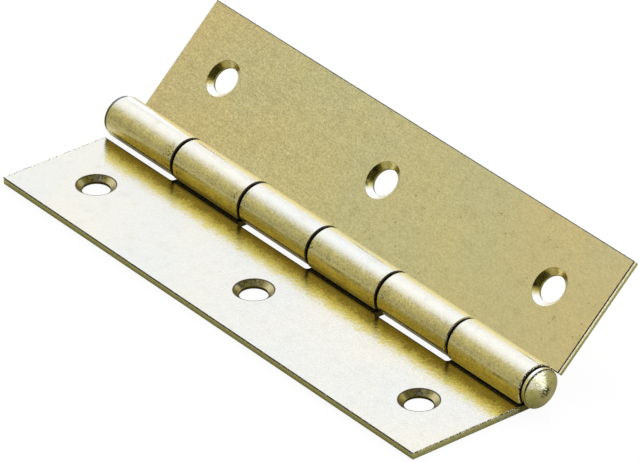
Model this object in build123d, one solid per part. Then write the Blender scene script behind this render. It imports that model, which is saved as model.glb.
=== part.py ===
from build123d import *
import os
from math import sqrt

# Pressed butt hinge: two leaves of rolled sheet that turn on one riveted pin.
# Millimetres. X runs along the pin towards its formed head and Z is up. The front leaf lies on
# Z = 0 with its outer edge towards -Y, and the origin is below the middle of the pin.

# Leaves
HINGE_LENGTH = 100.0  # along the pin, over the end knuckles
LEAF_REACH = 23.4  # pin axis to the outer edge of a leaf
SHEET = 1.2  # thickness of the sheet
LEAF_CORNER = 0.2  # radius of the corners of a leaf
EDGE_BREAK = 0.15  # bevel along the cut edges of a leaf and its knuckles
OPEN_ANGLE = 136.5  # between the leaves at rest, where 180 lies flat

# Screw holes
SCREW_HOLES = 3  # in each leaf
HOLE_DIAMETER = 4.5
HOLE_LINE = 13.5  # pin axis to the row of holes
HOLE_END_MARGIN = 10.7  # end of a leaf to its first hole
COUNTERSINK_FLARE = 0.9  # countersink radius beyond the hole's own
COUNTERSINK_LAND = 0.42  # straight wall left below the countersink

# Knuckles
KNUCKLES = 6  # of both leaves together
KNUCKLE_GAP = 0.5  # between neighbouring knuckles
FRONT_NOTCH_ROOM = 0.9  # barrel to the floor of a notch, along the face of the front leaf
REAR_NOTCH_ROOM = 0.75  # the same on the rear leaf
NOTCH_CORNER = 0.4  # radius in the corners of a notch
LIP_ANGLE = 80.0  # left unrolled, from the start of the straight lip round to the leaf
LIP_GAP = 0.45  # end of the lip to the face of its own leaf

# Pin
PIN_DIAMETER = 4.5
PIN_CLEARANCE = 0.05  # radial, pin to knuckle
HEAD_OVERHANG = 1.0  # head radius beyond the pin's own
HEAD_PLAY = 0.4  # formed head to the end of the barrel
HEAD_COLLAR = 0.5  # straight rim of the formed head
PEENED_PLAY = 0.1  # peened head to the end of the barrel
PEENED_COLLAR = 0.6  # straight rim of the peened head
CROWN_INSET = 0.18  # step from a collar in to its crown
CROWN_SHOULDER = 0.2  # rounded side of the crown, below its cone
CROWN_HEIGHT = 1.3  # collar to the edge of the nib
NIB_RADIUS = 0.5  # mark that the forming die leaves on the crown
NIB_HEIGHT = 0.08

# Sizes that follow
PIN_RADIUS = PIN_DIAMETER / 2
BORE_RADIUS = PIN_RADIUS + PIN_CLEARANCE
BARREL_RADIUS = BORE_RADIUS + SHEET
BARREL_AT_FACE = sqrt(BARREL_RADIUS**2 - BORE_RADIUS**2)  # half the barrel's width at the face of a leaf
KNUCKLE_PITCH = HINGE_LENGTH / KNUCKLES
HOLE_PITCH = (HINGE_LENGTH - 2 * HOLE_END_MARGIN) / (SCREW_HOLES - 1)
HOLE_RADIUS = HOLE_DIAMETER / 2
COUNTERSINK_RADIUS = HOLE_RADIUS + COUNTERSINK_FLARE
HEAD_RADIUS = PIN_RADIUS + HEAD_OVERHANG
CROWN_RADIUS = HEAD_RADIUS - CROWN_INSET
PIN_AXIS = Axis((0, 0, BARREL_RADIUS), (1, 0, 0))


def rolled_section():
    """Section of the sheet across the pin: flat, rolled up and over, and straight down again to the lip."""
    far_edge = -2 * LEAF_REACH
    centre = (0, BARREL_RADIUS)
    outside = CenterArc(centre, BARREL_RADIUS, -90, 360 - LIP_ANGLE)
    inside = CenterArc(centre, BORE_RADIUS, -90, 360 - LIP_ANGLE)
    down = outside % 1
    lip_run = down * ((outside @ 1).Y - SHEET - LIP_GAP) / abs(down.Y)
    lip_outside = Line(outside @ 1, outside @ 1 + lip_run)
    lip_inside = Line(inside @ 1, inside @ 1 + lip_run)
    lip_end = Line(lip_outside @ 1, lip_inside @ 1)
    back = Line((far_edge, 0), outside @ 0)
    face = Line(inside @ 0, (far_edge, SHEET))
    end = Line(face @ 1, back @ 0)
    return make_face([back, outside, lip_outside, lip_end, lip_inside, inside, face, end])


def notch(cell, room):
    """Plan of the space that the other leaf's knuckle needs in one cell of the barrel."""
    low = cell * KNUCKLE_PITCH - KNUCKLE_GAP / 2
    high = low + KNUCKLE_PITCH + KNUCKLE_GAP
    if cell == 0:
        low -= KNUCKLE_PITCH
    if cell == KNUCKLES - 1:
        high += KNUCKLE_PITCH
    depth = 4 * BARREL_RADIUS
    middle = (low + high - HINGE_LENGTH) / 2
    return Pos(middle, depth / 2 - BARREL_AT_FACE - room) * Rectangle(high - low, depth)


def plan(tongues, notch_room):
    """Plan outline of one leaf, with a tongue in each of its own cells of the barrel."""
    behind = 2 * BARREL_RADIUS
    outline = Pos(0, (behind - LEAF_REACH) / 2) * Rectangle(HINGE_LENGTH, LEAF_REACH + behind)
    for cell in range(KNUCKLES):
        if cell not in tongues:
            outline -= notch(cell, notch_room)
    return outline


def blank(tongues, notch_room):
    """The plan outline with its corners rounded."""
    outline = plan(tongues, notch_room)
    inner_limit = HINGE_LENGTH / 2 - KNUCKLE_PITCH / 4
    notch_corners = outline.vertices().group_by(Axis.Y)[1]
    outline = fillet(notch_corners.filter_by_position(Axis.X, -inner_limit, inner_limit), NOTCH_CORNER)
    front_side = outline.vertices().filter_by_position(Axis.Y, -LEAF_REACH * 2, -BARREL_AT_FACE)
    leaf_corners = front_side.filter_by(lambda corner: abs(corner.X) > inner_limit)
    return fillet(leaf_corners, LEAF_CORNER)


def screw_hole():
    """Cutter for one countersunk hole, set on the back of a leaf."""
    beyond = SHEET
    profile = Polyline(
        (0, -beyond),
        (HOLE_RADIUS, -beyond),
        (HOLE_RADIUS, COUNTERSINK_LAND),
        (COUNTERSINK_RADIUS, SHEET),
        (COUNTERSINK_RADIUS, SHEET + beyond),
        (0, SHEET + beyond),
        close=True,
    )
    return revolve(Plane.XZ * make_face(profile), Axis.Z)


def leaf(tongues, notch_room):
    """One leaf lying flat on its back, with its knuckles over the X axis."""
    rolled = extrude(Plane.YZ * rolled_section(), HINGE_LENGTH, both=True)
    below_lips = SHEET + LIP_GAP / 2
    cutter = Pos(0, 0, -SHEET) * extrude(blank(tongues, notch_room), SHEET + below_lips)
    cutter += Pos(0, 0, below_lips) * extrude(plan(tongues, BARREL_RADIUS), 2 * BARREL_RADIUS)
    sheet = rolled & cutter
    cut_edges = (
        sheet.edges()
        .filter_by(Axis.Z, reverse=True)
        .filter_by_position(Axis.Z, -EDGE_BREAK, SHEET + EDGE_BREAK)
        .filter_by_position(Axis.Y, -2 * LEAF_REACH, -EDGE_BREAK)
    )
    sheet = chamfer(cut_edges, EDGE_BREAK)
    for place in GridLocations(HOLE_PITCH, HOLE_PITCH, SCREW_HOLES, 1):
        sheet -= Pos(0, -HOLE_LINE) * place * screw_hole()
    return sheet


def pin_head(collar):
    """A pin head with a blunt cone for a crown. It faces +X, with its underside on X = 0."""
    rim = Polyline((0, 0), (0, HEAD_RADIUS), (collar, HEAD_RADIUS), (collar, CROWN_RADIUS))
    shoulder = (collar + CROWN_SHOULDER, CROWN_RADIUS)
    nib_edge = (collar + CROWN_HEIGHT, NIB_RADIUS)
    crown = FilletPolyline(rim @ 1, shoulder, nib_edge, radius=CROWN_SHOULDER)
    top = (collar + CROWN_HEIGHT + NIB_HEIGHT, 0)
    nib = TangentArc(top, crown @ 1, tangent=(0, 1))
    profile = make_face([rim, crown, nib, Line(top, (0, 0))])
    return revolve(profile, Axis.X)


def pin():
    """The pin along the X axis, closed by the formed head at +X and the peened one at -X."""
    formed_seat = HINGE_LENGTH / 2 + HEAD_PLAY
    peened_seat = HINGE_LENGTH / 2 + PEENED_PLAY
    shank = Rot(0, 90, 0) * Cylinder(PIN_RADIUS, formed_seat + peened_seat)
    shank = Pos((formed_seat - peened_seat) / 2, 0, 0) * shank
    formed = Pos(formed_seat, 0, 0) * pin_head(HEAD_COLLAR)
    peened = Pos(-peened_seat, 0, 0) * Rot(0, 0, 180) * pin_head(PEENED_COLLAR)
    return shank + formed + peened


# The leaf at the formed head's end has the last cell, and the two leaves take turns from there.
front_tongues = range(KNUCKLES - 1, -1, -2)
rear_tongues = range(KNUCKLES - 2, -1, -2)
rear_tongues_turned = [KNUCKLES - 1 - cell for cell in rear_tongues]

front_leaf = leaf(front_tongues, FRONT_NOTCH_ROOM)
rear_leaf = Rot(0, 0, 180) * leaf(rear_tongues_turned, REAR_NOTCH_ROOM)
rear_leaf = rear_leaf.rotate(PIN_AXIS, 180 - OPEN_ANGLE)
hinge_pin = Pos(PIN_AXIS.position) * pin()

os.makedirs("parts", exist_ok=True)
export_step(front_leaf, "parts/front_leaf.step")
export_step(rear_leaf, "parts/rear_leaf.step")
export_step(hinge_pin, "parts/hinge_pin.step")
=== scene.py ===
from math import cos, pi, radians, sin
from types import SimpleNamespace

import bpy
from mathutils import Matrix, Vector


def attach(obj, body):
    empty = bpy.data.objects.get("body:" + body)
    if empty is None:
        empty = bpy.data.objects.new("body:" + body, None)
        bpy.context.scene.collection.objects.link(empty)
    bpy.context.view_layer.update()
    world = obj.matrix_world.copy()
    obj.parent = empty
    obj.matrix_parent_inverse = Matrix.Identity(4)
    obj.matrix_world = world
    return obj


# Brass-plated butt hinge, dressed for the studio. Metres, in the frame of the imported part: X runs
# along the pin towards its formed head, the front leaf lies on the floor and the rear leaf rises.

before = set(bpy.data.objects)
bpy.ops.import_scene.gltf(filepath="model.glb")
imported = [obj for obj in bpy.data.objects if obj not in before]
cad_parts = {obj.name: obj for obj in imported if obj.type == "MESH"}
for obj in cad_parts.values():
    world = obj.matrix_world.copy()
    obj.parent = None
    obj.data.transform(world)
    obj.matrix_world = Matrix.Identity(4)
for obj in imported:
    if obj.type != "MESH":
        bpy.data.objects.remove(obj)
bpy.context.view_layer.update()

MM = 0.001

# Sizes that the finishes follow, as the part's source has them
HINGE_LENGTH = 100.0 * MM
HALF_LENGTH = HINGE_LENGTH / 2
BARREL_RADIUS = 3.5 * MM
BORE_RADIUS = 2.3 * MM
SHEET = 1.2 * MM
LEAF_REACH = 23.4 * MM
HOLE_LINE = 13.5 * MM
HOLE_PITCH = 39.3 * MM
HOLE_RADIUS = 2.25 * MM
COUNTERSINK_RADIUS = 3.15 * MM
KNUCKLE_PITCH = HINGE_LENGTH / 6
NOTCH_EDGE = 3.54 * MM
CROWN_RADIUS = 3.07 * MM
HEAD_RADIUS = 3.25 * MM
SHANK_END = 50.09 * MM
PIN_MIDDLE = Vector((0.0, 0.0, BARREL_RADIUS))

# Height of a leaf's face when it is laid flat with the pin axis as the origin
FACE_LEVEL = -BORE_RADIUS

# Turns that lay a leaf flat towards +Y
REAR_RISE = radians(43.5)
FRONT_TURN = (0.0, 0.0, pi)
REAR_TURN = (-REAR_RISE, 0.0, 0.0)
NO_TURN = (0.0, 0.0, 0.0)

# Directions on the hinge
RIGHT = (1.0, 0.0, 0.0)
BACK = (0.0, 1.0, 0.0)
FRONT = (0.0, -1.0, 0.0)
UP = (0.0, 0.0, 1.0)
DOWN = (0.0, 0.0, -1.0)
FRONT_BELOW = (0.0, -0.8, -0.6)

# How each leaf differs. From nothing to one: how deep its grain is, how far its countersinks are
# marked by the drill, how much painted reflection and painted shade of the barrel it takes, how
# rosy towards its ends, and how bright the upper half of its cut edge and the painted glint in its
# countersinks are. The shaded side is the way that the countersink wall with painted shade faces.
FRONT_LOOK = SimpleNamespace(
    grain_depth=0.35,
    drill_marks=1.0,
    shaded_side=(-0.85, 0.53, 0.0),
    mirrors_barrel=0.95,
    rose_ends=0.0,
    bright_edge=0.12,
)
REAR_LOOK = SimpleNamespace(
    grain_depth=1.0,
    drill_marks=0.05,
    shaded_side=(1.0, 0.0, 0.0),
    mirrors_barrel=0.0,
    rose_ends=0.7,
    bright_edge=1.0,
)

# The ways that the countersink walls with a painted highlight and a painted glint face, on a leaf
# laid flat
LIT_WALL = (0.58, 0.81, 0.0)
GLINT_WALL = (-0.5, 0.86, 0.0)

# Marks that rolling leaves on the sheet: their slant and their size
ROLLING_SLANT = (0.0, 0.0, 0.35)
ROLLING_MARK = (9 * MM, 0.16 * MM, 0.3 * MM)

# Burrs: how far in from an edge they sit, where a leaf's side begins and how they lie
BURR_INSET = 0.06 * MM
BURR_DEPTH = 0.07 * MM
SIDE_START = 4 * MM
RIM_ANGLES = range(-5, 266, 3)
FURTHEST_SHIFT = (1.0, 1.0, 1.0)
FULL_TURN = (6.28, 6.28, 6.28)
LEAST_STRETCH = (0.3, 0.3, 0.3)
MOST_STRETCH = (1.5, 1.0, 1.0)

# Picture
IMAGE_WIDTH = 639.0
IMAGE_HEIGHT = 462.0
FOCAL_PIXELS = 7404.0
SENSOR_WIDTH = 36.0
CAMERA_AZIMUTH = radians(51.386)
CAMERA_ELEVATION = radians(31.395)
CAMERA_DISTANCE = 1.1197
PIN_MIDDLE_PIXEL = (323.96, 247.46)

# Plating and what shows through it, and painted shade, highlights and reflections, in linear colour
BRASS = (0.52, 0.447, 0.160, 1.0)
GREEN_BRASS = (0.495, 0.440, 0.168, 1.0)
ROSE_BRASS = (0.55, 0.432, 0.152, 1.0)
DULL_BRASS = (0.36, 0.305, 0.095, 1.0)
# Painted shade on the leaf close to the barrel
FOLD_PAINTED_SHADE = (0.22, 0.158, 0.013, 1.0)
# Pale brass of the burrs, also used as a painted highlight on the barrel, the pin's collar and a
# countersink wall
PALE_BRASS_AND_HIGHLIGHT = (0.82, 0.73, 0.32, 1.0)
# Painted glint on one wall of a countersink
PAINTED_GLINT = (0.90, 0.80, 0.36, 1.0)
# Dark brown for scuffs at the joints and for painted shade on a countersink wall
DARK_SCUFF_AND_SHADE = (0.070, 0.052, 0.003, 1.0)
CONE_GOLD = (0.26, 0.205, 0.020, 1.0)
# Dark brown for painted shade and painted shadow, and for the dark rim of a countersink
DEEP_BROWN = (0.05, 0.033, 0.002, 1.0)
# Dark gold for the painted shade on a countersink wall of the rear leaf
SHADED_WALL_GOLD = (0.46, 0.35, 0.026, 1.0)
# Painted sheen on the lowest side of the barrel
LOWER_PAINTED_SHEEN = (0.95, 0.85, 0.48, 1.0)
# Painted golden reflection on the underside of the barrel
UNDER_REFLECTED_GOLD = (0.68, 0.605, 0.26, 1.0)
OLIVE_BRASS = (0.42, 0.395, 0.105, 1.0)
# Painted golden reflection of the barrel in the front leaf
MIRRORED_BARREL_GOLD = (0.47, 0.362, 0.032, 1.0)
BURNISHED_CUT = (0.95, 0.90, 0.52, 1.0)
TORN_CUT = (0.36, 0.34, 0.100, 1.0)
DRILLED = (0.20, 0.165, 0.036, 1.0)
# Dark grime for specks, pits and die marks, also used as painted shade in joints, folds and creases
GRIME_AND_SHADE = (0.022, 0.018, 0.007, 1.0)
GLANCE_TINT = (1.0, 0.97, 0.82, 1.0)
LACQUER = 0.06
LACQUER_ROUGHNESS = 0.15

# Floor, and the card on it that the pin's head mirrors
FLOOR_HALF = 2.0
FLOOR_LEVEL = -0.05 * MM
FLOOR_PAINT = (0.9, 0.9, 0.9, 1.0)
FLOOR_MIRRORED = (0.25, 0.25, 0.25, 1.0)
CARD_LEFT = 76 * MM
CARD_RIGHT = 205 * MM
CARD_FRONT = -130 * MM
CARD_BACK = 10 * MM

# Light that the metal mirrors, and where in the room it is bright or dark
WHITE = (1.0, 1.0, 1.0, 1.0)
SKYLIGHT = (0.95, 1.24, 4.62)
CARD_LIGHT = (1.95, 2.07, 4.7, 1.0)
WALL_LIGHT = (2.5, 2.7, 6.4)
SCRIM = (0.0, 0.6, 0.8)
DARK_FLAG = (0.72, -0.50, 0.48)


class Socket:
    """The output of a node. Sums on it add Math nodes to its graph."""

    def __init__(self, graph, output):
        self.graph = graph
        self.output = output

    def __add__(self, other):
        return self.graph.math("ADD", self, other)

    def __sub__(self, other):
        return self.graph.math("SUBTRACT", self, other)

    def __rsub__(self, other):
        return self.graph.math("SUBTRACT", other, self)

    def __mul__(self, other):
        return self.graph.math("MULTIPLY", self, other)

    def __truediv__(self, other):
        return self.graph.math("DIVIDE", self, other)

    def __pow__(self, other):
        return self.graph.math("POWER", self, other)

    def __abs__(self):
        return self.graph.math("ABSOLUTE", self)

    __radd__ = __add__
    __rmul__ = __mul__


class Graph:
    """A node tree that is filled through one method."""

    def __init__(self, tree):
        self.tree = tree
        self.tree.nodes.clear()

    def add(self, kind, settings=None, sockets=None, output=0):
        """Adds a node with its settings, then the values or links of its sockets."""
        node = self.tree.nodes.new(kind)
        for name, value in (settings or {}).items():
            setattr(node, name, value)
        for name, value in (sockets or {}).items():
            if isinstance(value, Socket):
                self.tree.links.new(value.output, node.inputs[name])
            else:
                node.inputs[name].default_value = value
        if node.outputs:
            return Socket(self, node.outputs[output])

    def math(self, operation, *values):
        return self.add("ShaderNodeMath", {"operation": operation}, dict(enumerate(values)))

    def most(self, first, *others):
        """The largest of the values."""
        for other in others:
            first = self.math("MAXIMUM", first, other)
        return first

    def rise(self, value, low, high, bottom=0.0, top=1.0):
        """A smooth step from bottom to top as the value goes from low to high."""
        settings = {"interpolation_type": "SMOOTHSTEP"}
        ends = {"From Min": low, "From Max": high, "To Min": bottom, "To Max": top}
        return self.add("ShaderNodeMapRange", settings, {"Value": value, **ends})

    def fall(self, value, low, high):
        """A smooth step from one to nothing as the value goes from low to high."""
        return self.rise(value, low, high, 1.0, 0.0)

    def band(self, value, low, high, soft):
        """One between low and high, and nothing outside them."""
        above = self.rise(value, low - soft, low + soft)
        return above * self.fall(value, high - soft, high + soft)

    def tint(self, share, first, second, blend="MIX"):
        """The first colour going over into the second."""
        settings = {"data_type": "RGBA", "blend_type": blend}
        return self.add("ShaderNodeMix", settings, {"Factor": share, 6: first, 7: second}, 2)

    def shade(self, colour, level):
        """The colour, lighter or darker by a level around one."""
        return self.tint(1.0, colour, level, "MULTIPLY")

    def noise(self, place, size, detail=2.0, roughness=0.5):
        """Noise around 0.5 whose features have the given size."""
        sockets = {"Vector": place, "Scale": 1.0 / size, "Detail": detail, "Roughness": roughness}
        return self.add("ShaderNodeTexNoise", {}, sockets)

    def stretched(self, place, turn, lengths):
        """Coordinates that draw noise out along a direction."""
        scale = [1.0 / length for length in lengths]
        sockets = {"Vector": place, "Rotation": turn, "Scale": scale}
        return self.add("ShaderNodeMapping", {"vector_type": "POINT"}, sockets)

    def parts(self, vector, axes="XYZ"):
        """The parts of a vector along the named axes."""
        return [self.add("ShaderNodeSeparateXYZ", {}, {"Vector": vector}, axis) for axis in axes]

    def dot(self, vector, direction):
        """How far a vector goes in a direction."""
        settings = {"operation": "DOT_PRODUCT"}
        return self.add("ShaderNodeVectorMath", settings, {0: vector, 1: direction}, "Value")


def new_finish(name):
    """A material and the graph that fills it."""
    material = bpy.data.materials.new(name)
    material.use_nodes = True
    return material, Graph(material.node_tree)


def turned(turn, vector):
    """The vector as it points on a leaf laid flat."""
    about_pin = Matrix.Rotation(turn[0], 3, "X")
    end_for_end = Matrix.Rotation(turn[2], 3, "Z")
    return end_for_end @ about_pin @ Vector(vector)


def on_hinge(turn, point):
    """A point of a leaf laid flat, back in its place on the hinge."""
    about_pin = Matrix.Rotation(-turn[0], 3, "X")
    end_for_end = Matrix.Rotation(-turn[2], 3, "Z")
    return PIN_MIDDLE + about_pin @ end_for_end @ Vector(point)


def leaf_place(graph, turn):
    """Place and facing on a leaf laid flat towards +Y, with the pin along X through the origin."""
    place = graph.add("ShaderNodeTexCoord", output="Object")
    facing = graph.add("ShaderNodeTexCoord", output="Normal")
    shift = turned(turn, -PIN_MIDDLE)
    sockets = {"Vector": place, "Location": shift, "Rotation": turn}
    place = graph.add("ShaderNodeMapping", {"vector_type": "POINT"}, sockets)
    sockets = {"Vector": facing, "Rotation": turn}
    facing = graph.add("ShaderNodeMapping", {"vector_type": "VECTOR"}, sockets)
    return place, facing


def finish(graph, colour, roughness, coat, relief, depth):
    """Closes a plating's graph with its shader."""
    sockets = {"Strength": 1.0, "Distance": depth, "Height": relief}
    bump = graph.add("ShaderNodeBump", {}, sockets)
    shader = graph.add("ShaderNodeBsdfPrincipled", {}, {
        "Base Color": colour,
        "Metallic": 1.0,
        "Roughness": roughness,
        "Coat Weight": coat,
        "Coat Roughness": LACQUER_ROUGHNESS,
        "Specular Tint": GLANCE_TINT,
        "Normal": bump,
    })
    graph.add("ShaderNodeOutputMaterial", {}, {"Surface": shader})


def leaf_zones(graph, turn):
    """Where on a leaf a point is: distances in metres, and shares from nothing to one."""
    place, facing = leaf_place(graph, turn)
    along, out, up = graph.parts(place)
    face_along, face_up = graph.parts(facing, "XZ")
    tilt = abs(face_up)

    def towards(direction):
        """How far the surface faces a direction on the hinge."""
        return graph.dot(facing, turned(turn, direction))

    # Close to the barrel only what lies low down is flat
    low_down = graph.fall(up, FACE_LEVEL + 0.05 * MM, FACE_LEVEL + 0.15 * MM)
    low_and_close = graph.rise(out, 3.2 * MM, 3.5 * MM) * low_down
    flat = graph.most(low_and_close, graph.rise(out, 3.52 * MM, 3.6 * MM))
    barrel = 1 - flat
    handled = barrel * graph.rise(towards(FRONT), 0.35, 0.75)

    # Holes repeat along the leaf, and notches alternate with knuckles
    along_from_hole = graph.math("WRAP", along, HOLE_PITCH / 2, -HOLE_PITCH / 2)
    from_hole = (along_from_hole ** 2 + (out - HOLE_LINE) ** 2) ** 0.5
    in_hole = flat * graph.fall(from_hole, COUNTERSINK_RADIUS - 0.04 * MM, COUNTERSINK_RADIUS)
    cone = in_hole * graph.rise(from_hole, HOLE_RADIUS, HOLE_RADIUS + 0.03 * MM)
    from_joint = graph.math("PINGPONG", along + HALF_LENGTH, KNUCKLE_PITCH / 2)
    in_pair = graph.math("WRAP", along + HALF_LENGTH, 2 * KNUCKLE_PITCH, 0.0)
    by_notch = graph.rise(in_pair, KNUCKLE_PITCH, KNUCKLE_PITCH + 0.1 * MM)

    # Cut faces stand square to the sheet, and bevels lie between
    knuckle_end = barrel * graph.rise(abs(face_along), 0.85, 0.95)
    cut = graph.most(knuckle_end, flat * graph.fall(tilt, 0.2, 0.5))
    bevel = flat * (1 - in_hole) * graph.band(tilt, 0.4, 0.9, 0.05)

    return SimpleNamespace(
        place=place,
        facing=facing,
        towards=towards,
        along=along,
        towards_head=along * cos(turn[2]),
        out=out,
        up=up,
        face_along=face_along,
        face_up=face_up,
        flat=flat,
        barrel=barrel,
        handled=handled,
        from_hole=from_hole,
        in_hole=in_hole,
        cone=cone,
        from_joint=from_joint,
        by_notch=by_notch,
        knuckle_end=knuckle_end,
        cut=cut,
        bevel=bevel,
        coarse=graph.rise(along, -30 * MM, 40 * MM, 1.3, 0.6),
    )


def sheet_marks(graph, place):
    """What rolling, plating and handling leave on a sheet, as noise around 0.5."""
    return SimpleNamespace(
        cloud=graph.noise(place, 16 * MM),
        mottle=graph.noise(place, 2.2 * MM, 4.0, 0.6),
        grain=graph.noise(place, 0.30 * MM, 2.0, 0.65),
        dimple=graph.noise(place, 0.60 * MM, 1.0),
        speckle=graph.noise(place, 0.30 * MM, 1.0),
        drawn=graph.noise(graph.stretched(place, ROLLING_SLANT, ROLLING_MARK), 1.0),
    )


def brass_patches(graph, at, mark, look):
    """Brass that goes green, rosy and dull in patches."""
    colour = graph.tint(graph.rise(mark.cloud, 0.35, 0.65), GREEN_BRASS, BRASS)
    towards_end = abs(at.along) + (mark.cloud - 0.5) * (60 * MM)
    rosy = at.flat * graph.rise(towards_end, 20 * MM, 55 * MM) * look.rose_ends
    colour = graph.tint(rosy, colour, ROSE_BRASS)
    stained = graph.rise(mark.mottle, 0.50, 0.80, 0.0, 0.4) * (1 - at.flat * look.mirrors_barrel * 0.5)
    return graph.tint(stained, colour, DULL_BRASS)


def painted_barrel_reflection(graph, colour, at, mark, look):
    """Painted golden reflection of the barrel beside it, with painted shade close to it. Gives the
    colour and the strip.
    """
    from_fold = at.out + (mark.speckle - 0.5) * (3 * MM) + (mark.mottle - 0.5) * (3 * MM)
    reflection_strip = at.flat * graph.fall(from_fold, 6.5 * MM, 9.2 * MM) * look.mirrors_barrel
    slanted_end = at.along + (at.out - NOTCH_EDGE) * 1.2
    reflection_strip = reflection_strip * graph.fall(slanted_end, 49 * MM, 50.4 * MM)
    colour = graph.tint(reflection_strip, colour, MIRRORED_BARREL_GOLD)
    # Painted shade where the painted reflection comes closest to the barrel
    close = reflection_strip * graph.fall(from_fold, 4.6 * MM, 6.8 * MM)
    return graph.tint(close, colour, FOLD_PAINTED_SHADE), reflection_strip


def barrel_painted_light(graph, colour, at, look):
    """A painted golden reflection below the barrel, a painted sheen on its lowest side and a pale
    painted highlight at the back of its top.
    """
    under_reflection = at.barrel * graph.rise(at.towards(FRONT_BELOW), 0.25, 0.85)
    colour = graph.tint(under_reflection * (0.25 + look.mirrors_barrel * 0.75), colour, UNDER_REFLECTED_GOLD)
    lowest_sheen = at.barrel * graph.rise(at.towards(DOWN), -0.12, 0.15)
    colour = graph.tint(lowest_sheen * 0.9, colour, LOWER_PAINTED_SHEEN)
    top_back_highlight = at.barrel * graph.rise(at.towards(BACK), 0.02, 0.28)
    top_back_highlight = top_back_highlight * graph.rise(at.towards(UP), 0.3, 0.6)
    return graph.tint(top_back_highlight, colour, PALE_BRASS_AND_HIGHLIGHT)


def grained(graph, colour, at, mark, look):
    """Grain and rolling marks, strongest where the barrel is handled, and dark specks."""
    contrast = at.barrel * 0.35 + at.handled * 1.2 + at.flat * at.coarse * look.grain_depth
    texture = (mark.grain - 0.5) * 0.95 + (mark.drawn - 0.5) * 0.2
    colour = graph.shade(colour, 1 + (mark.mottle - 0.5) * at.handled * 0.7)
    colour = graph.shade(colour, 1 + texture * contrast)
    specks = graph.rise(mark.speckle, 0.66, 0.72) * graph.rise(mark.mottle, 0.48, 0.60)
    specks = specks * (0.25 + at.flat * (look.grain_depth ** 2 * 0.75))
    return graph.tint(specks * 0.7, colour, GRIME_AND_SHADE)


def cut_edges(graph, colour, at, mark, look):
    """Sheared edges, burnished above and torn below, and the rough ends of the knuckles."""
    depth = (FACE_LEVEL - at.up) / SHEET + (mark.mottle - 0.5) * 0.3
    burnished = graph.fall(depth, 0.36, 0.52) * look.bright_edge
    cut_colour = graph.tint(burnished, TORN_CUT, BURNISHED_CUT)
    cut_colour = graph.tint(at.knuckle_end, cut_colour, DRILLED)
    return graph.tint(at.cut, colour, graph.shade(cut_colour, 0.5 + mark.grain))


def countersinks(graph, colour, at, mark, look):
    """Drilled walls with a painted highlight, a painted glint and painted shade on three sides,
    painted shade down the bore and a dark rim. Gives the colour and the glint.
    """
    chatter = graph.rise(mark.mottle * 0.5 + mark.grain * 0.5, 0.38, 0.60, 1.0, 0.6)
    colour = graph.tint(at.cone * chatter * look.drill_marks, colour, CONE_GOLD)
    # Painted highlight on the countersink wall that faces the light
    lit = at.cone * graph.rise(graph.dot(at.facing, LIT_WALL), 0.42, 0.66) * look.drill_marks
    colour = graph.tint(lit * 0.6, colour, PALE_BRASS_AND_HIGHLIGHT)
    # Painted glint on the countersink wall that faces another way
    glint = graph.rise(graph.dot(at.facing, GLINT_WALL), 0.25, 0.5)
    glint = at.cone * glint * look.bright_edge
    colour = graph.tint(glint, colour, PAINTED_GLINT)

    # Painted shade on the countersink wall that faces the shaded side, with dark grime spots in it
    shade_facing = graph.dot(at.facing, look.shaded_side) + (mark.mottle - 0.5) * 0.5
    shaded_wall = at.cone * graph.rise(shade_facing, 0.34, 0.56) * graph.rise(mark.grain, 0.35, 0.60, 0.6, 1.0)
    shade_colour = graph.tint(look.drill_marks, SHADED_WALL_GOLD, DARK_SCUFF_AND_SHADE)
    grimy = graph.rise(mark.mottle, 0.54, 0.62, 0.0, 0.8)
    shade_colour = graph.tint(grimy, shade_colour, GRIME_AND_SHADE)
    colour = graph.tint(shaded_wall * 0.95, colour, shade_colour)

    # Painted shade down the bore of the hole, below the countersink
    bored = (at.in_hole - at.cone) * (0.35 + look.drill_marks * 0.6)
    colour = graph.tint(bored, colour, DEEP_BROWN)
    inner, outer = COUNTERSINK_RADIUS - 0.10 * MM, COUNTERSINK_RADIUS + 0.13 * MM
    rim = at.flat * graph.band(at.from_hole, inner, outer, 0.03 * MM)
    return graph.tint(rim * look.drill_marks * 0.9, colour, DEEP_BROWN), glint


def lip_shadow(graph, colour, at, look):
    """Painted shadow, brown, on the leaf beside the lips of its knuckles, fainter towards one end.
    """
    close = graph.fall(at.out, NOTCH_EDGE + 0.1 * MM, NOTCH_EDGE + 0.8 * MM)
    shadow = at.flat * (1 - at.by_notch) * graph.rise(at.face_up, 0.6, 0.8) * close * look.mirrors_barrel
    shadow = shadow * graph.rise(at.along, -45 * MM, 15 * MM, 0.3, 1.0)
    return graph.tint(shadow * 0.95, colour, DEEP_BROWN)


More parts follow.
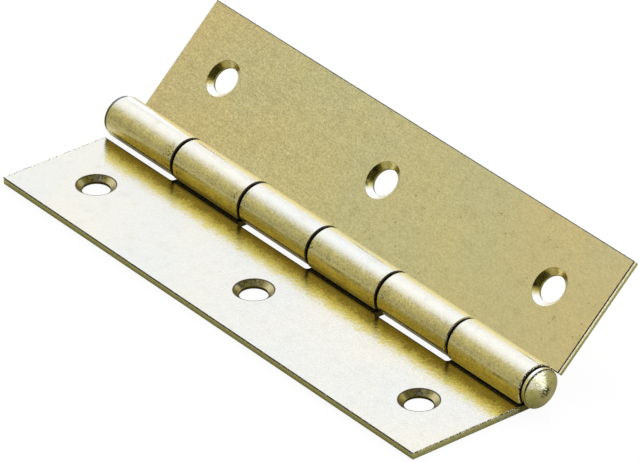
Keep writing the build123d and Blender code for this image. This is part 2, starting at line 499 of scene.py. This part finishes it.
def dark_lines(graph, colour, at, mark, look):
    """Dark bevels, and painted shade on knuckle rims, beside notches, in the folds and on the lip
    ends. Gives the colour and the lines.
    """
    torn = graph.rise(abs(at.face_along), 0.3, 0.5) * graph.rise(mark.speckle, 0.44, 0.52)
    bevels = at.bevel * (0.95 - torn * look.mirrors_barrel * 0.9)

    # Painted shade on the knuckle rims at the outer ends and on those facing the head
    outer_end = graph.rise(abs(at.along), HALF_LENGTH - 0.3 * MM, HALF_LENGTH - 0.2 * MM)
    right_end = graph.rise(at.towards(RIGHT), 0.2, 0.3)
    right_end = right_end * graph.rise(at.towards_head, 20 * MM, 30 * MM, 1.0, 0.2)
    knuckle_rims = at.barrel * graph.band(abs(at.face_along), 0.35, 0.92, 0.05)
    knuckle_rims = knuckle_rims * graph.most(outer_end, right_end)
    worn = outer_end * graph.rise(mark.speckle, 0.42, 0.56)
    knuckle_rims = knuckle_rims * (0.9 - worn * 0.7)

    # Painted shade beside the notches, in the fold under the lips and on the lip ends
    notches = graph.fall(at.out, NOTCH_EDGE + 0.25 * MM, NOTCH_EDGE + 0.35 * MM)
    notches = at.flat * at.by_notch * notches * look.mirrors_barrel
    fold = graph.band(at.up, FACE_LEVEL - 0.1 * MM, FACE_LEVEL + 0.1 * MM, 0.05 * MM)
    fold = at.barrel * fold * graph.rise(at.out, 1 * MM, 2 * MM)
    lip_ends = graph.band(at.up, FACE_LEVEL + 0.2 * MM, FACE_LEVEL + 0.7 * MM, 0.05 * MM)
    lip_ends = at.barrel * lip_ends * graph.fall(at.face_up, -0.7, -0.4)
    lip_ends = lip_ends * graph.rise(at.out, 2.0 * MM, 2.2 * MM)

    lines = graph.most(bevels, knuckle_rims, graph.most(notches, fold, lip_ends) * 0.9)
    return graph.tint(lines, colour, GRIME_AND_SHADE), lines


def joint_scuffs(graph, colour, at, mark):
    """Scuffs on the barrel where two knuckles rub. Gives the colour and the scuffs."""
    near_joint = at.barrel * graph.fall(at.from_joint, 1.2 * MM, 4 * MM)
    scuffs = near_joint * at.handled * graph.rise(mark.speckle, 0.54, 0.60)
    scuffs = scuffs * graph.rise(mark.mottle, 0.50, 0.58)
    return graph.tint(scuffs * 0.8, colour, DARK_SCUFF_AND_SHADE), scuffs


def leaf_plating(name, turn, look):
    """Brass plating over rolled sheet: grained on the faces, dark along its edges and torn where
    it was cut, with painted reflections, highlights and shade by the barrel and in the
    countersinks."""
    material, graph = new_finish(name)
    at = leaf_zones(graph, turn)
    mark = sheet_marks(graph, at.place)

    colour = brass_patches(graph, at, mark, look)
    colour, reflection_strip = painted_barrel_reflection(graph, colour, at, mark, look)
    colour = barrel_painted_light(graph, colour, at, look)
    colour = grained(graph, colour, at, mark, look)
    colour = cut_edges(graph, colour, at, mark, look)
    colour, glint = countersinks(graph, colour, at, mark, look)
    colour = lip_shadow(graph, colour, at, look)
    colour, lines = dark_lines(graph, colour, at, mark, look)
    colour, scuffs = joint_scuffs(graph, colour, at, mark)

    roughness = 0.12 + mark.mottle * 0.06 + mark.grain * 0.08 + at.cut * 0.22 + scuffs * 0.15
    roughness = roughness + at.cone * look.drill_marks * 0.1 + reflection_strip * 0.08 + lines * 0.4
    roughness = roughness + glint * 0.25
    coat = (1 - at.cut) * (1 - lines) * (1 - reflection_strip) * (1 - at.in_hole) * LACQUER
    dents = (mark.dimple + mark.speckle * 0.15) * (0.25 + at.flat * at.coarse * 0.75)
    relief = dents + mark.mottle * 0.5 + at.cut * mark.grain * 1.5
    finish(graph, colour, roughness, coat, relief, (0.008 + look.grain_depth * 0.012) * MM)
    return material


def pin_plating():
    """Brass plating on the cold-headed pin, with a painted shade line round its crown, a painted
    highlight on the top of its collar, painted shade on its shank and a die mark.
    """
    material, graph = new_finish("pin_plating")
    place, facing = leaf_place(graph, NO_TURN)
    along, across, up = graph.parts(place)
    face_along = graph.dot(facing, RIGHT)
    from_axis = (across ** 2 + up ** 2) ** 0.5
    mottle = graph.noise(place, 1.4 * MM, 3.0, 0.6)
    grain = graph.noise(place, 0.35 * MM, 2.0, 0.6)
    speckle = graph.noise(place, 0.30 * MM, 1.0)

    # Where on the pin
    end_on = graph.rise(abs(face_along), 0.6, 0.8)
    wavy = from_axis + (grain - 0.5) * (0.4 * MM)
    # Painted shade in the crease round the crown, darker towards the top
    crease_shade = graph.band(wavy, CROWN_RADIUS - 0.02 * MM, HEAD_RADIUS - 0.07 * MM, 0.03 * MM)
    crease_shade = crease_shade * graph.rise(up + (mottle - 0.5) * (4 * MM), -1.2 * MM, 0.8 * MM, 0.15, 1.0)
    # Painted highlight on the upper side of the collar
    collar_highlight = graph.rise(from_axis, HEAD_RADIUS - 0.02 * MM, HEAD_RADIUS)
    collar_highlight = collar_highlight * graph.rise(up, -1.0 * MM, 1.5 * MM)
    die_mark = end_on * graph.fall(from_axis, 0.5 * MM, 1.3 * MM) * graph.rise(grain, 0.46, 0.52)
    pits = end_on * graph.rise(speckle, 0.67, 0.72)
    # Painted shade on the shank, where it shows in the gap between knuckle and head
    shank_shade = graph.fall(abs(along), SHANK_END, SHANK_END + 0.02 * MM)
    far_end = graph.fall(along, -HALF_LENGTH - 0.3 * MM, -HALF_LENGTH - 0.2 * MM)
    widest = graph.rise(from_axis, HEAD_RADIUS - 0.12 * MM, HEAD_RADIUS - 0.06 * MM)
    far_collar = far_end * widest

    colour = graph.tint(graph.rise(mottle, 0.35, 0.7), GREEN_BRASS, OLIVE_BRASS)
    colour = graph.shade(colour, 0.8 + grain * 0.35)
    colour = graph.tint(collar_highlight * 0.5, colour, PALE_BRASS_AND_HIGHLIGHT)
    colour = graph.tint(graph.most(crease_shade * 0.8, die_mark * 0.95, pits * 0.8), colour, GRIME_AND_SHADE)
    colour = graph.tint(shank_shade * 0.9, colour, GRIME_AND_SHADE)
    colour = graph.tint(far_collar * 0.85, colour, GRIME_AND_SHADE)
    roughness = 0.16 + mottle * 0.08 + grain * 0.08
    finish(graph, colour, roughness, LACQUER, mottle * 2.0 + grain * 0.6, 0.025 * MM)
    return material


def burr_plating():
    """Bright torn metal with dark pits, for the burrs that shearing leaves."""
    material, graph = new_finish("burr_plating")
    place = graph.add("ShaderNodeTexCoord", output="Object")
    pits = graph.rise(graph.noise(place, 0.25 * MM, 1.0), 0.40, 0.52)
    sheen = graph.noise(place, 0.6 * MM)
    colour = graph.tint(pits, GRIME_AND_SHADE, PALE_BRASS_AND_HIGHLIGHT)
    finish(graph, colour, 0.25 + sheen * 0.3, 0.0, sheen, 0.02 * MM)
    return material


def burr_tree():
    """Nodes that scatter small torn grains of metal along the edges that they are given."""
    tree = bpy.data.node_groups.new("burrs_along_edges", "GeometryNodeTree")
    inputs = {
        "Edges": "NodeSocketGeometry",
        "Spacing": "NodeSocketFloat",
        "Size": "NodeSocketFloat",
        "Scatter": "NodeSocketFloat",
        "Seed": "NodeSocketInt",
        "Finish": "NodeSocketMaterial",
    }
    for name, kind in inputs.items():
        tree.interface.new_socket(name=name, in_out="INPUT", socket_type=kind)
    tree.interface.new_socket(name="Burrs", in_out="OUTPUT", socket_type="NodeSocketGeometry")
    graph = Graph(tree)
    edges, spacing, size, scatter, seed, plating = [
        graph.add("NodeGroupInput", output=name) for name in inputs
    ]

    def drawn_between(low, high):
        """A vector drawn for each grain."""
        sockets = {0: low, 1: high, "Seed": seed}
        return graph.add("FunctionNodeRandomValue", {"data_type": "FLOAT_VECTOR"}, sockets)

    lines = graph.add("GeometryNodeMeshToCurve", {}, {"Mesh": edges})
    sockets = {"Curve": lines, "Length": spacing}
    points = graph.add("GeometryNodeCurveToPoints", {"mode": "LENGTH"}, sockets)
    shift = drawn_between([-reach for reach in FURTHEST_SHIFT], FURTHEST_SHIFT)
    sockets = {0: shift, "Scale": scatter}
    shift = graph.add("ShaderNodeVectorMath", {"operation": "SCALE"}, sockets)
    points = graph.add("GeometryNodeSetPosition", {}, {"Geometry": points, "Offset": shift})
    grain = graph.add("GeometryNodeMeshIcoSphere", {}, {"Radius": size, "Subdivisions": 1})
    grains = graph.add("GeometryNodeInstanceOnPoints", {}, {
        "Points": points,
        "Instance": grain,
        "Rotation": drawn_between(NO_TURN, FULL_TURN),
        "Scale": drawn_between(LEAST_STRETCH, MOST_STRETCH),
    })
    grains = graph.add("GeometryNodeRealizeInstances", {}, {"Geometry": grains})
    grains = graph.add("GeometryNodeSetMaterial", {}, {"Geometry": grains, "Material": plating})
    graph.add("NodeGroupOutput", {}, {"Burrs": grains})
    return tree


def burrs(name, body, tree, lines, sizes):
    """Burrs along lines of points, as one piece that rides on a body."""
    corners = [corner for line in lines for corner in line]
    edges = []
    start = 0
    for line in lines:
        edges += [(start + step, start + step + 1) for step in range(len(line) - 1)]
        start += len(line)
    mesh = bpy.data.meshes.new(name)
    mesh.from_pydata(corners, edges, [])
    piece = bpy.data.objects.new(name, mesh)
    bpy.context.scene.collection.objects.link(piece)
    maker = piece.modifiers.new("burrs", "NODES")
    maker.node_group = tree
    for item in tree.interface.items_tree:
        if item.name in sizes:
            maker[item.identifier] = sizes[item.name]
    evaluated = piece.evaluated_get(bpy.context.evaluated_depsgraph_get())
    piece.data = bpy.data.meshes.new_from_object(evaluated)
    piece.modifiers.remove(maker)
    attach(piece, body)


def end_rim(turn):
    """The rim of a leaf's outermost knuckle, round from the lip to the leaf."""
    radius = BARREL_RADIUS - BURR_INSET
    end = -HALF_LENGTH + BURR_INSET
    angles = [radians(angle) for angle in RIM_ANGLES]
    return [on_hinge(turn, (end, radius * cos(angle), radius * sin(angle))) for angle in angles]


def sheared_edges(turn):
    """The two sides of a leaf and its outer edge, where its upper face was sheared."""
    level = FACE_LEVEL - BURR_DEPTH
    reach = LEAF_REACH - BURR_INSET
    ends = (-HALF_LENGTH + BURR_INSET, HALF_LENGTH - BURR_INSET)
    sides = [[on_hinge(turn, (end, out, level)) for out in (SIDE_START, reach)] for end in ends]
    outer_edge = [on_hinge(turn, (end, reach, level)) for end in ends]
    return sides, outer_edge


def dress(node, material):
    """Gives a CAD node its finish."""
    for material_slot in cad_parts[node].material_slots:
        material_slot.material = material


def rays(graph):
    """One for rays from the eye or through glass, and one for rays off metal."""
    kinds = ("Is Camera Ray", "Is Transmission Ray", "Is Glossy Ray")
    from_eye, through_glass, off_metal = [
        graph.add("ShaderNodeLightPath", output=kind) for kind in kinds
    ]
    return graph.most(from_eye, through_glass), off_metal


def white_floor():
    """A white floor with a faint shadow, and a bright card at the right for the head to mirror."""
    mesh = bpy.data.meshes.new("floor")
    sides = ((-1, -1), (1, -1), (1, 1), (-1, 1))
    corners = [(FLOOR_HALF * x, FLOOR_HALF * y, FLOOR_LEVEL) for x, y in sides]
    mesh.from_pydata(corners, [], [(0, 1, 2, 3)])
    floor = bpy.data.objects.new("floor", mesh)
    bpy.context.scene.collection.objects.link(floor)
    material, graph = new_finish("floor_white")
    material.cycles.emission_sampling = "NONE"
    seen, off_metal = rays(graph)
    paint = graph.add("ShaderNodeBsdfDiffuse", {}, {"Color": FLOOR_PAINT})
    place = graph.add("ShaderNodeTexCoord", output="Object")
    right, back = graph.parts(place, "XY")
    card = graph.band(right, CARD_LEFT, CARD_RIGHT, 8 * MM)
    card = card * graph.band(back, CARD_FRONT, CARD_BACK, 5 * MM)
    light = graph.tint(off_metal, WHITE, graph.tint(card, FLOOR_MIRRORED, CARD_LIGHT))
    glow = graph.add("ShaderNodeEmission", {}, {"Color": light, "Strength": 1.0})
    share = seen * 0.94 + off_metal * (0.4 + card * 0.5)
    surface = graph.add("ShaderNodeMixShader", {}, {"Fac": share, 1: paint, 2: glow})
    graph.add("ShaderNodeOutputMaterial", {}, {"Surface": surface})
    mesh.materials.append(material)


def room():
    """A white room for the metal to mirror: a broad scrim behind, a bright wall at the right, and
    dark by the camera."""
    world = bpy.data.worlds.new("studio")
    bpy.context.scene.world = world
    world.cycles.sampling_method = "NONE"
    world.use_nodes = True
    graph = Graph(world.node_tree)
    seen, off_metal = rays(graph)
    direction = graph.add("ShaderNodeTexCoord", output="Generated")
    right, back, up = graph.parts(direction)

    def lit(light, share, rest):
        """A light's share added to the rest."""
        sockets = {0: light, 1: share, 2: rest}
        return graph.add("ShaderNodeVectorMath", {"operation": "MULTIPLY_ADD"}, sockets)

    scrim = graph.rise(graph.dot(direction, SCRIM), 0.05, 0.75) * graph.fall(right, 0.1, 0.45)
    scrim = scrim * graph.rise(up, -0.05, 0.12) * graph.rise(up, 0.45, 0.75, 0.8, 1.0)
    wall = graph.rise(right, 0.64, 0.74) * graph.rise(back, -0.45, -0.2)
    wall = wall * graph.band(up, 0.045, 0.5, 0.03)
    flag = graph.rise(graph.dot(direction, DARK_FLAG), 0.66, 0.90)
    skirting = graph.rise(right, 0.2, 0.5) * graph.band(up, -0.1, 0.02, 0.03)
    level = graph.rise(up, -0.05, 0.6, 0.6, 0.97) * graph.rise(right, -0.1, 0.4, 1.0, 0.7)
    level = level * (1 - flag * 0.9) * (1 - skirting * 0.85)
    mirrored = lit(WALL_LIGHT, wall, lit(SKYLIGHT, scrim, level))
    colour = graph.tint(off_metal, seen * 0.65 + 0.35, mirrored)
    background = graph.add("ShaderNodeBackground", {}, {"Color": colour, "Strength": 1.0})
    graph.add("ShaderNodeOutputWorld", {}, {"Surface": background})


def softbox(name, direction, distance, width, height, power):
    """A soft rectangular lamp that faces the hinge."""
    lamp = bpy.data.lights.new(name, "AREA")
    lamp.shape = "RECTANGLE"
    lamp.size = width
    lamp.size_y = height
    lamp.energy = power
    holder = bpy.data.objects.new(name, lamp)
    towards = Vector(direction).normalized()
    holder.location = towards * distance
    holder.rotation_euler = towards.to_track_quat("Z", "Y").to_euler()
    holder.visible_camera = False
    holder.visible_glossy = False
    bpy.context.scene.collection.objects.link(holder)


def camera():
    """The camera of the photograph."""
    forward = Vector((
        -sin(CAMERA_AZIMUTH) * cos(CAMERA_ELEVATION),
        cos(CAMERA_AZIMUTH) * cos(CAMERA_ELEVATION),
        -sin(CAMERA_ELEVATION),
    ))
    right = forward.cross(Vector(UP)).normalized()
    down = forward.cross(right)
    aim = forward
    aim = aim + right * (IMAGE_WIDTH / 2 - PIN_MIDDLE_PIXEL[0]) / FOCAL_PIXELS
    aim = aim + down * (IMAGE_HEIGHT / 2 - PIN_MIDDLE_PIXEL[1]) / FOCAL_PIXELS
    data = bpy.data.cameras.new("camera")
    data.sensor_fit = "HORIZONTAL"
    data.sensor_width = SENSOR_WIDTH
    data.lens = FOCAL_PIXELS * SENSOR_WIDTH / IMAGE_WIDTH
    holder = bpy.data.objects.new("camera", data)
    holder.location = PIN_MIDDLE - forward * CAMERA_DISTANCE
    holder.rotation_euler = aim.to_track_quat("-Z", "Y").to_euler()
    bpy.context.scene.collection.objects.link(holder)
    bpy.context.scene.camera = holder


dress("front_leaf", leaf_plating("front_leaf_plating", FRONT_TURN, FRONT_LOOK))
dress("rear_leaf", leaf_plating("rear_leaf_plating", REAR_TURN, REAR_LOOK))
dress("hinge_pin", pin_plating())

burr_nodes = burr_tree()
burr_finish = burr_plating()
coarse_burrs = {
    "Spacing": 0.11 * MM,
    "Size": 0.10 * MM,
    "Scatter": 0.08 * MM,
    "Seed": 4,
    "Finish": burr_finish,
}
fine_burrs = {
    "Spacing": 0.30 * MM,
    "Size": 0.05 * MM,
    "Scatter": 0.04 * MM,
    "Seed": 9,
    "Finish": burr_finish,
}
for leaf, body, turn, side_burrs in (
    ("front_leaf", "fixed_side", FRONT_TURN, coarse_burrs),
    ("rear_leaf", "swinging_side", REAR_TURN, fine_burrs),
):
    sides, outer_edge = sheared_edges(turn)
    burrs(leaf + "_side_burrs", body, burr_nodes, [*sides, end_rim(turn)], side_burrs)
    burrs(leaf + "_edge_burrs", body, burr_nodes, [outer_edge], fine_burrs)

white_floor()
room()
softbox(
    "softbox",
    direction=(-0.32, 0.60, 0.75),
    distance=0.9,
    width=1.5,
    height=1.2,
    power=16.0,
)
camera()

bpy.context.scene.view_settings.view_transform = "Standard"
